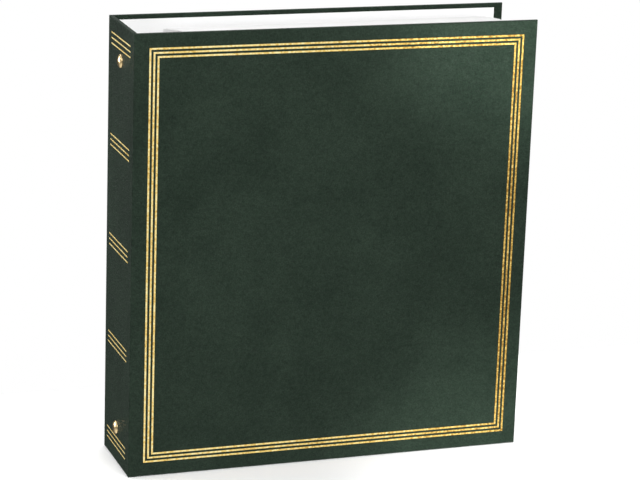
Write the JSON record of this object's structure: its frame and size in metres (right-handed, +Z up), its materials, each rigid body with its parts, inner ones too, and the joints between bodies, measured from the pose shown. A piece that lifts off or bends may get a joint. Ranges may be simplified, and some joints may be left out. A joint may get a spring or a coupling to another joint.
{
  "type": "three-ring stamp album",
  "caption": "Leatherette ring binder album for stamp leaves, with hinged covers, gold rules and a riveted ring mechanism that opens by levers.",
  "frame": {"origin": "centre of the footprint at the tail edge", "axes": "+X from the spine to the fore edge, +Y from the front cover to the rear cover, +Z up"},
  "size_m": [0.2854, 0.065, 0.305],
  "materials": {
    "leatherette": "fine pebble grain, satin",
    "greyboard": "matte",
    "white_lining": "smooth satin",
    "gold_foil": "hot-stamped foil",
    "nickel": "bright nickel plate",
    "rivet_brass": "polished",
    "leaf_paper": "matte"
  },
  "bodies": {
    "spine": {"spine_board": "greyboard", "spine_leatherette": "leatherette", "spine_lining": "white_lining", "spine_gold_stripes": "gold_foil", "front_fold": "leatherette", "rear_fold": "leatherette", "ring_base_plate": "nickel", "spine_rivets": "rivet_brass"},
    "front_cover": {"front_board": "greyboard", "front_leatherette": "leatherette", "front_lining": "white_lining", "front_gold_border": "gold_foil"},
    "rear_cover": {"rear_board": "greyboard", "rear_leatherette": "leatherette", "rear_lining": "white_lining"},
    "front_rings": {"hinge_plate_front": "nickel", "ring_front_top": "nickel", "ring_front_middle": "nickel", "ring_front_bottom": "nickel"},
    "rear_rings": {"hinge_plate_rear": "nickel", "ring_rear_top": "nickel", "ring_rear_middle": "nickel", "ring_rear_bottom": "nickel"},
    "top_lever": {"lever_top": "nickel"},
    "bottom_lever": {"lever_bottom": "nickel"},
    "title_leaf_body": {"title_leaf": "leaf_paper"},
    "bundle_1": {"leaves_1": "leaf_paper"},
    "bundle_2": {"leaves_2": "leaf_paper"},
    "bundle_3": {"leaves_3": "leaf_paper"},
    "bundle_4": {"leaves_4": "leaf_paper"},
    "bundle_5": {"leaves_5": "leaf_paper"},
    "bundle_6": {"leaves_6": "leaf_paper"},
    "bundle_7": {"leaves_7": "leaf_paper"},
    "bundle_8": {"leaves_8": "leaf_paper"}
  },
  "joints": [
    {"name": "front_cover_hinge", "type": "hinge", "parent": "spine", "child": "front_cover", "pos_m": [-0.13995, -0.0322, 0.1525], "axis": [0, 0, -1], "range_deg": [0, 180]},
    {"name": "rear_cover_hinge", "type": "hinge", "parent": "spine", "child": "rear_cover", "pos_m": [-0.13995, 0.0322, 0.1525], "axis": [0, 0, 1], "range_deg": [0, 180]},
    {"name": "ring_opening", "type": "hinge", "parent": "spine", "child": "front_rings", "pos_m": [-0.13525, -0.0084, 0.1525], "axis": [0, 0, -1], "range_deg": [0, 5]},
    {"name": "rear_ring_opening", "type": "hinge", "parent": "spine", "child": "rear_rings", "pos_m": [-0.13525, 0.0084, 0.1525], "axis": [0, 0, 1], "range_deg": [0, 5]},
    {"name": "top_lever_swing", "type": "hinge", "parent": "spine", "child": "top_lever", "pos_m": [-0.13625, 0, 0.2885], "axis": [0, -1, 0], "range_deg": [0, 20]},
    {"name": "bottom_lever_swing", "type": "hinge", "parent": "spine", "child": "bottom_lever", "pos_m": [-0.13625, 0, 0.0165], "axis": [0, 1, 0], "range_deg": [0, 20]},
    {"name": "title_leaf_turn", "type": "hinge", "parent": "spine", "child": "title_leaf_body", "pos_m": [-0.10933, 0, 0.1525], "axis": [0, 0, -1], "range_deg": [0, 76]},
    {"name": "bundle_1_turn", "type": "hinge", "parent": "spine", "child": "bundle_1", "pos_m": [-0.10933, 0, 0.1525], "axis": [0, 0, -1], "range_deg": [0, 70]},
    {"name": "bundle_2_turn", "type": "hinge", "parent": "spine", "child": "bundle_2", "pos_m": [-0.10933, 0, 0.1525], "axis": [0, 0, -1], "range_deg": [0, 52]},
    {"name": "bundle_3_turn", "type": "hinge", "parent": "spine", "child": "bundle_3", "pos_m": [-0.10933, 0, 0.1525], "axis": [0, 0, -1], "range_deg": [0, 34]},
    {"name": "bundle_4_turn", "type": "hinge", "parent": "spine", "child": "bundle_4", "pos_m": [-0.10933, 0, 0.1525], "axis": [0, 0, -1], "range_deg": [0, 17]},
    {"name": "bundle_8_turn", "type": "hinge", "parent": "spine", "child": "bundle_8", "pos_m": [-0.10933, 0, 0.1525], "axis": [0, 0, 1], "range_deg": [0, 70]},
    {"name": "bundle_7_turn", "type": "hinge", "parent": "spine", "child": "bundle_7", "pos_m": [-0.10933, 0, 0.1525], "axis": [0, 0, 1], "range_deg": [0, 52]},
    {"name": "bundle_6_turn", "type": "hinge", "parent": "spine", "child": "bundle_6", "pos_m": [-0.10933, 0, 0.1525], "axis": [0, 0, 1], "range_deg": [0, 34]},
    {"name": "bundle_5_turn", "type": "hinge", "parent": "spine", "child": "bundle_5", "pos_m": [-0.10933, 0, 0.1525], "axis": [0, 0, 1], "range_deg": [0, 17]}
  ],
  "couplings": [
    {"joint": "rear_ring_opening", "follows": "ring_opening", "ratio": 1},
    {"joint": "top_lever_swing", "follows": "ring_opening", "ratio": 4},
    {"joint": "bottom_lever_swing", "follows": "ring_opening", "ratio": 4},
    {"joint": "title_leaf_turn", "follows": "front_cover_hinge", "ratio": 0.42222},
    {"joint": "bundle_1_turn", "follows": "front_cover_hinge", "ratio": 0.38889},
    {"joint": "bundle_2_turn", "follows": "front_cover_hinge", "ratio": 0.28889},
    {"joint": "bundle_3_turn", "follows": "front_cover_hinge", "ratio": 0.18889},
    {"joint": "bundle_4_turn", "follows": "front_cover_hinge", "ratio": 0.094444},
    {"joint": "bundle_8_turn", "follows": "rear_cover_hinge", "ratio": 0.38889},
    {"joint": "bundle_7_turn", "follows": "rear_cover_hinge", "ratio": 0.28889},
    {"joint": "bundle_6_turn", "follows": "rear_cover_hinge", "ratio": 0.18889},
    {"joint": "bundle_5_turn", "follows": "rear_cover_hinge", "ratio": 0.094444}
  ]
}
